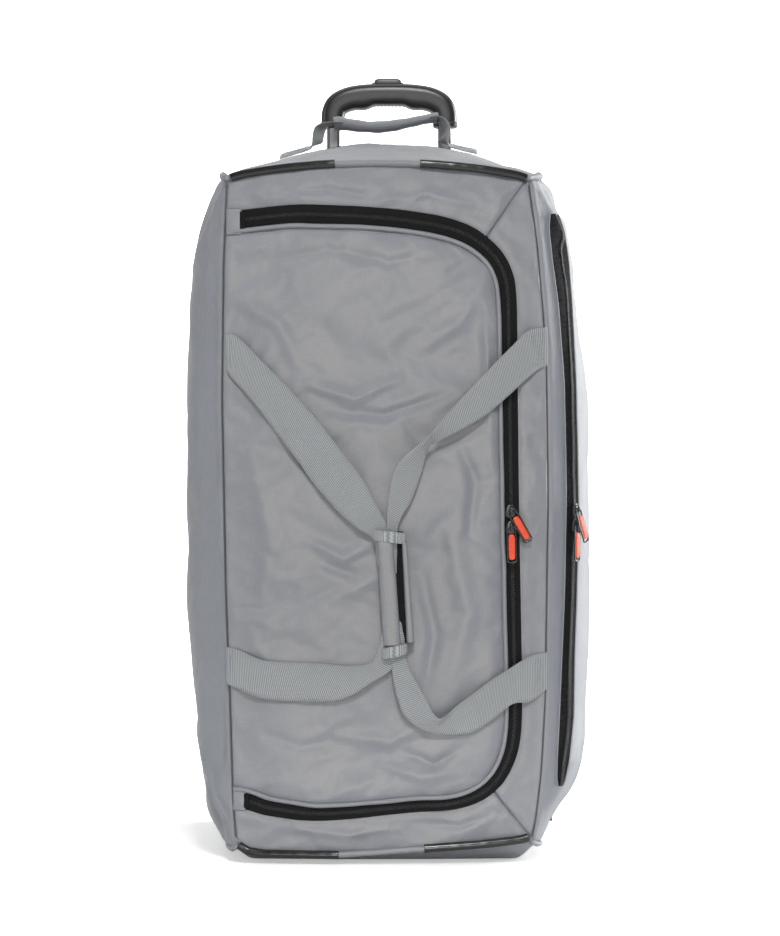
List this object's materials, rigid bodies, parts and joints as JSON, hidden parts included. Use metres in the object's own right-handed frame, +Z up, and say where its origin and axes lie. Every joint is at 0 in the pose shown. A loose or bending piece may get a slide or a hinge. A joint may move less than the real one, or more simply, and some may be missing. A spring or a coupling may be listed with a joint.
{
  "type": "rolling duffel bag",
  "caption": "Upright wheeled duffel bag with a U-zip flap, side pocket zip, joined carry straps, end haul handle, telescopic trolley handle and corner wheels.",
  "frame": {"origin": "on the floor, on the flat underside of the bottom end panel, in the bag's middle plane, 180 mm behind the front seams", "axes": "+Z up along the bag's length as it stands on its end, -Y out of the flap panel, +X to the right seen from the flap side"},
  "size_m": [0.4168, 0.4048, 0.8295],
  "materials": {
    "fabric": "woven polyester, matt",
    "base_fabric": "coated woven polyester, matt",
    "webbing": "ribbed woven webbing",
    "zip_tape": "knitted tape",
    "zip_coil": "nylon coil",
    "piping_black": "glossy sleeve",
    "board": "plain",
    "black_plastic": "fine grain",
    "grip_plastic": "satin",
    "button_plastic": "satin",
    "tube_metal": "anodised dark grey, satin",
    "steel": "plain",
    "wheel_tyre": "polyurethane, satin",
    "wheel_hub": "satin",
    "zip_metal": "black lacquer, satin",
    "pull_frame": "black lacquer, gloss",
    "pull_insert": "soft moulded, satin"
  },
  "bodies": {
    "root": {"border_panel": "fabric", "border_zip_tape": "zip_tape", "zip_end_tabs": "fabric", "gusset_left": "fabric", "gusset_right": "fabric", "top_end_panel": "fabric", "bottom_end_panel": "fabric", "back_panel": "base_fabric", "back_board": "board", "piping_cord": "fabric", "piping_sleeves": "piping_black", "side_zip_tape": "zip_tape", "side_zip_chain": "zip_coil", "strap_anchor_right": "webbing", "skid_rails": "black_plastic", "wheel_housing_left": "black_plastic", "wheel_housing_right": "black_plastic", "axles": "steel", "outer_tubes": "tube_metal", "outer_tube_bushes": "black_plastic", "tube_foot": "black_plastic", "handle_bezel": "black_plastic", "haul_tabs": "webbing", "screws": "steel"},
    "flap": {"flap_panel": "fabric", "flap_piping": "fabric", "flap_zip_tape": "zip_tape", "main_zip_chain": "zip_coil", "strap_anchor_left": "webbing"},
    "strap_left": {"strap_left": "webbing", "grip_wrap": "fabric", "wrap_binding": "webbing"},
    "strap_right": {"strap_right": "webbing"},
    "mast": {"mid_tubes": "tube_metal", "mid_tube_bushes": "black_plastic"},
    "grip": {"inner_tubes": "tube_metal", "grip_front_shell": "grip_plastic", "grip_rear_shell": "grip_plastic"},
    "button": {"push_button": "button_plastic", "push_rods": "black_plastic"},
    "haul_handle": {"haul_sleeve": "fabric", "haul_webbing": "webbing"},
    "wheel_left": {"tyre_left": "wheel_tyre", "hub_left": "wheel_hub", "bearings_left": "steel"},
    "wheel_right": {"tyre_right": "wheel_tyre", "hub_right": "wheel_hub", "bearings_right": "steel"},
    "slider_main_upper": {"zip_slider_main_upper": "zip_metal"},
    "pull_main_upper": {"pull_frame_main_upper": "pull_frame", "pull_insert_main_upper": "pull_insert"},
    "slider_main_lower": {"zip_slider_main_lower": "zip_metal"},
    "pull_main_lower": {"pull_frame_main_lower": "pull_frame", "pull_insert_main_lower": "pull_insert"},
    "slider_side_upper": {"zip_slider_side_upper": "zip_metal"},
    "pull_side_upper": {"pull_frame_side_upper": "pull_frame", "pull_insert_side_upper": "pull_insert"},
    "slider_side_lower": {"zip_slider_side_lower": "zip_metal"},
    "pull_side_lower": {"pull_frame_side_lower": "pull_frame", "pull_insert_side_lower": "pull_insert"}
  },
  "joints": [
    {"name": "flap_open", "type": "hinge", "parent": "root", "child": "flap", "pos_m": [-0.1615, -0.184, 0.35], "axis": [0, 0, -1], "range_deg": [0, 110], "deforming": ["strap_right"]},
    {"name": "grip_extend", "type": "slide", "parent": "mast", "child": "grip", "axis": [0, 0, 1], "range_m": [0, 0.18]},
    {"name": "handle_extend", "type": "slide", "parent": "root", "child": "mast", "axis": [0, 0, 1], "range_m": [0, 0.17]},
    {"name": "handle_button", "type": "slide", "parent": "grip", "child": "button", "axis": [0, 0, -1], "range_m": [0, 0.004]},
    {"name": "haul_fold", "type": "hinge", "parent": "root", "child": "haul_handle", "pos_m": [0, 0.1, 0.747], "axis": [1, 0, 0], "range_deg": [-20, 75], "deforming": ["haul_webbing"]},
    {"name": "strap_left_lift", "type": "hinge", "parent": "flap", "child": "strap_left", "pos_m": [-0.1582, -0.1893, 0.35], "axis": [0, 0, -1], "range_deg": [0, 60]},
    {"name": "strap_right_lift", "type": "hinge", "parent": "root", "child": "strap_right", "pos_m": [0.1572, -0.1925, 0.35], "axis": [0, 0, 1], "range_deg": [0, 60]},
    {"name": "wheel_left_spin", "type": "hinge", "parent": "root", "child": "wheel_left", "pos_m": [-0.163, 0.16, 0.035], "axis": [1, 0, 0], "continuous": true},
    {"name": "wheel_right_spin", "type": "hinge", "parent": "root", "child": "wheel_right", "pos_m": [0.163, 0.16, 0.035], "axis": [1, 0, 0], "continuous": true},
    {"name": "zip_main_upper", "type": "slide", "parent": "flap", "child": "slider_main_upper", "axis": [0, 0, 1], "range_m": [0, 0.22]},
    {"name": "pull_main_upper", "type": "hinge", "parent": "slider_main_upper", "child": "pull_main_upper", "pos_m": [0.12277, -0.19141, 0.353], "axis": [-0.8592, -0.1082, -0.5], "range_deg": [0, 90]},
    {"name": "zip_main_lower", "type": "slide", "parent": "flap", "child": "slider_main_lower", "axis": [0, 0, 1], "range_m": [-0.2, 0]},
    {"name": "pull_main_lower", "type": "hinge", "parent": "slider_main_lower", "child": "pull_main_lower", "pos_m": [0.12277, -0.19141, 0.336], "axis": [-0.9916, -0.1248, -0.0349], "range_deg": [0, 90]},
    {"name": "zip_side_upper", "type": "slide", "parent": "root", "child": "slider_side_upper", "axis": [0, 0, 1], "range_m": [0, 0.25]},
    {"name": "pull_side_upper", "type": "hinge", "parent": "slider_side_upper", "child": "pull_side_upper", "pos_m": [0.19381, -0.15488, 0.357], "axis": [-0.5159, -0.736, -0.4383], "range_deg": [0, 90]},
    {"name": "zip_side_lower", "type": "slide", "parent": "root", "child": "slider_side_lower", "axis": [0, 0, 1], "range_m": [-0.22, 0]},
    {"name": "pull_side_lower", "type": "hinge", "parent": "slider_side_lower", "child": "pull_side_lower", "pos_m": [0.19381, -0.15488, 0.337], "axis": [-0.5725, -0.8169, 0.0697], "range_deg": [0, 90]}
  ]
}
